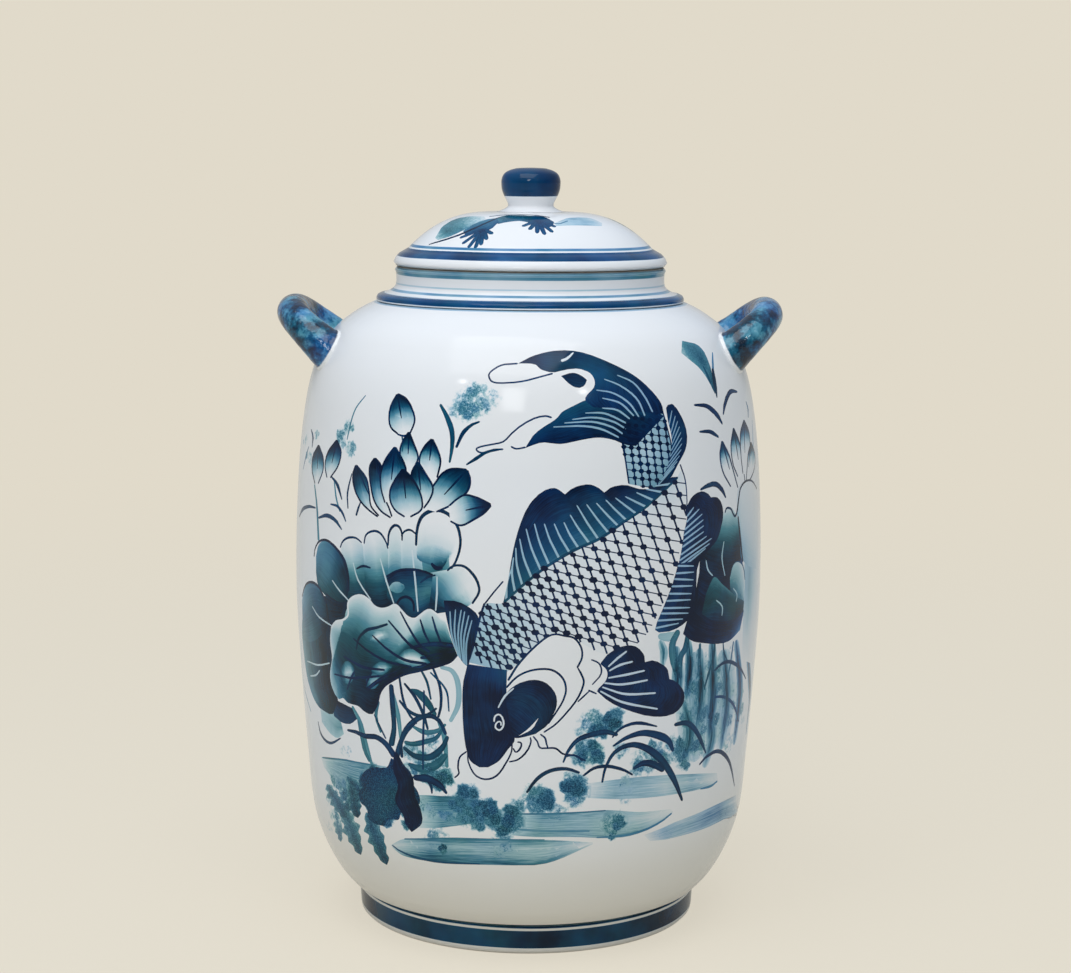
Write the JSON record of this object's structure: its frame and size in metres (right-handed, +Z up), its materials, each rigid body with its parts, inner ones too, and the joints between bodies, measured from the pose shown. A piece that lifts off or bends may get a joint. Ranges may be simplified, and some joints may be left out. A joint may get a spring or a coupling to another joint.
{
  "type": "rice jar",
  "caption": "Tall lidded stoneware rice jar with loop handles on the shoulder, a foot ring and a lift-off domed lid with a knob.",
  "frame": {"origin": "on the table, under the middle of the foot ring", "axes": "+Z up along the jar's axis, +X through the right handle, -Y towards the painted front"},
  "size_m": [0.335, 0.312, 0.5],
  "materials": {
    "white_glaze": "glossy clear glaze over white slip, painted in cobalt",
    "cobalt_glaze": "glossy glaze over mottled cobalt",
    "bare_stoneware": "unglazed, fine matt grain"
  },
  "bodies": {
    "jar": {"jar_body": "white_glaze", "neck_collar": "white_glaze", "foot_ring": "cobalt_glaze", "left_handle": "cobalt_glaze", "right_handle": "cobalt_glaze"},
    "lid": {"lid_dome": "white_glaze", "lid_locating_ring": "bare_stoneware", "lid_knob": "cobalt_glaze"}
  },
  "joints": [
    {"name": "lid_lift", "type": "slide", "parent": "jar", "child": "lid", "axis": [0, 0, 1], "range_m": [0, 0.25]}
  ]
}
